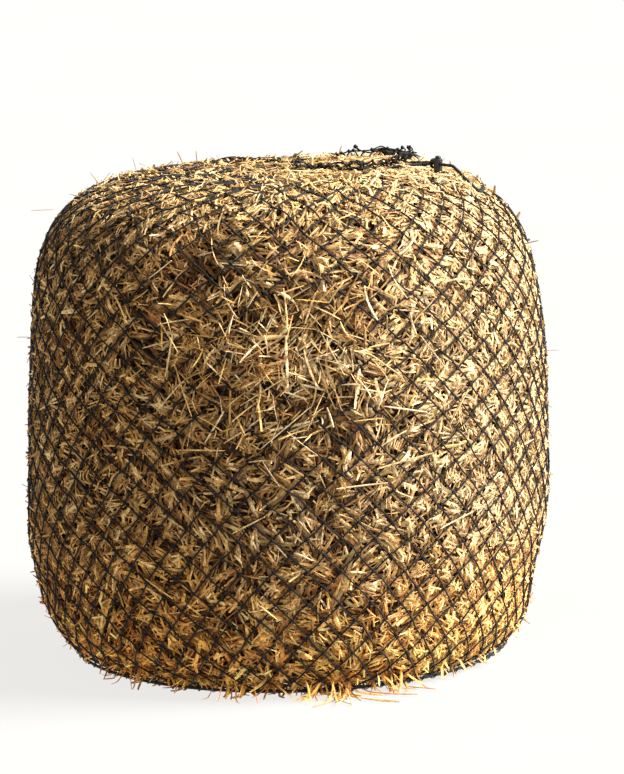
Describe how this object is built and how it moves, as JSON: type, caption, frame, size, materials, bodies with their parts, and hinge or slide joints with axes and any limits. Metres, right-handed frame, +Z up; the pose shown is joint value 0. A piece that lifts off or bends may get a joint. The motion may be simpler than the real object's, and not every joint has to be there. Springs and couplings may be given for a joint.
{
  "type": "hay net",
  "caption": "Round bale hay net of black knotted netting, filled with a barrel-shaped hay bale, drawn shut on top by a rope noose with a sprung cord lock.",
  "frame": {"origin": "middle of the flat base, where the bale stands on the floor", "axes": "+Z up along the bale's axis; -Y towards the side that the picture shows; +X to the right of that view"},
  "size_m": [1.29, 1.29, 1.2499],
  "materials": {
    "hay": "matte",
    "netting": "matte",
    "rope": "matte",
    "lacing": "matte",
    "lock_plastic": "satin",
    "spring_steel": "satin"
  },
  "bodies": {
    "root": {"hay_bale": "hay", "side_netting": "netting", "base_netting": "netting", "mouth_netting": "netting", "base_border_rope": "rope", "base_lacing": "lacing", "side_seam_lacing": "lacing", "drawstring_loop": "rope", "drawstring_eye": "rope", "eye_whipping": "lacing", "drawstring_tail": "rope", "drawstring_coil": "rope", "drawstring_end_knot": "rope", "coil_tie": "lacing"},
    "lock": {"lock_barrel": "lock_plastic", "lock_spring": "spring_steel"},
    "plunger": {"lock_plunger": "lock_plastic"}
  },
  "joints": [
    {"name": "lock_slide", "type": "slide", "parent": "root", "child": "lock", "axis": [0.5, -0.866, 0], "range_m": [0, 0.05]},
    {"name": "plunger_press", "type": "slide", "parent": "lock", "child": "plunger", "axis": [0, 0, 1], "range_m": [-0.004, 0], "stiffness_N_per_m": 400, "springref_m": 0.006, "deforming": ["lock_spring"]}
  ]
}
